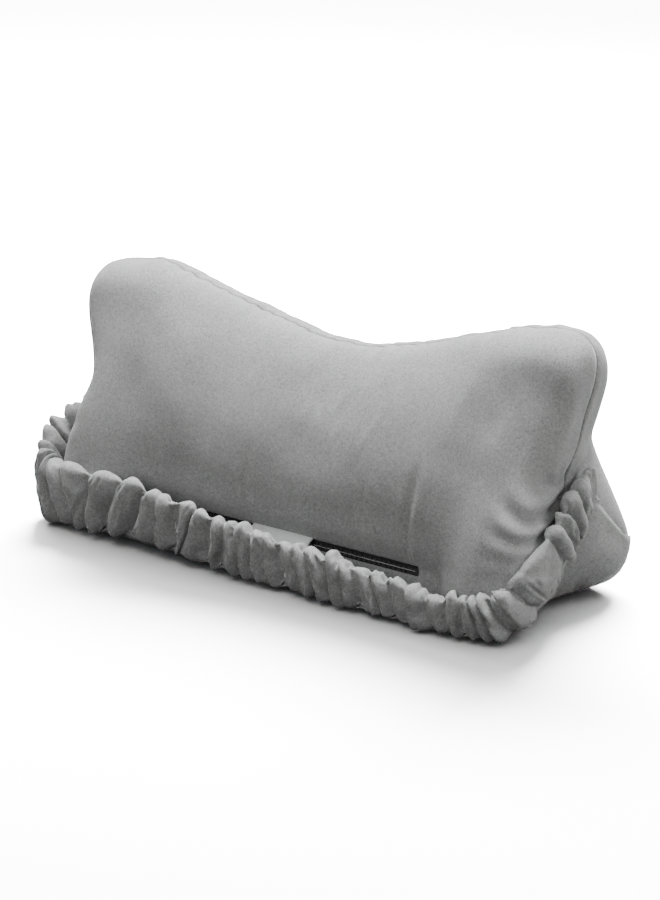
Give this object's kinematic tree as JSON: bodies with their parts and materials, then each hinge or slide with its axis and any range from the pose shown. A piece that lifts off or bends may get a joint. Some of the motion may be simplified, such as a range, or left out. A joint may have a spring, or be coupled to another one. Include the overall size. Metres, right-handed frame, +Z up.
{
  "type": "chair headrest pillow",
  "caption": "Three-lobed stuffed headrest pillow with a zipped cover and a gathered elastic hood that slips over the top of a chair's back.",
  "frame": {"origin": "centre of the footprint, on the surface the object lies on", "axes": "+X along the pillow, +Y from the gathered band at the front to the seam at the rear, +Z up. The mouth of the hood faces -Y and up."},
  "size_m": [0.424, 0.16, 0.193],
  "materials": {
    "microsuede": "matt brushed nap, slightly mottled",
    "liner_cloth": "plain thin cloth",
    "fibre_fill": "soft white fibre",
    "elastic": "ribbed woven elastic",
    "zip_tape": "fine woven tape",
    "zip_coil": "smooth nylon",
    "zip_metal": "black paint",
    "label_cloth": "smooth woven, blank"
  },
  "bodies": {
    "hood": {"hood_panel": "microsuede", "gathered_band": "microsuede", "elastic_strip": "elastic"},
    "pillow": {"chair_side_panel": "microsuede", "head_side_panel": "microsuede", "base_panel": "microsuede", "inner_bag": "liner_cloth", "fibre_core": "fibre_fill", "zip_tape_upper": "zip_tape", "zip_tape_lower": "zip_tape", "zip_coil_upper": "zip_coil", "zip_coil_lower": "zip_coil", "zip_stops": "zip_coil", "care_label": "label_cloth"},
    "slider": {"zip_slider": "zip_metal"},
    "pull": {"zip_pull": "zip_metal"}
  },
  "joints": [
    {"name": "hood_opening", "type": "hinge", "parent": "hood", "child": "pillow", "pos_m": [0, 0.08, 0.023], "axis": [-1, 0, 0], "range_deg": [0, 20], "stiffness_Nm_per_rad": 4},
    {"name": "zip_slide", "type": "slide", "parent": "pillow", "child": "slider", "axis": [1, 0, 0], "range_m": [0, 0.196]},
    {"name": "pull_swing", "type": "hinge", "parent": "slider", "child": "pull", "pos_m": [-0.098, -0.04644, 0.02764], "axis": [0, -0.2895, -0.9572], "range_deg": [0, 180]}
  ]
}
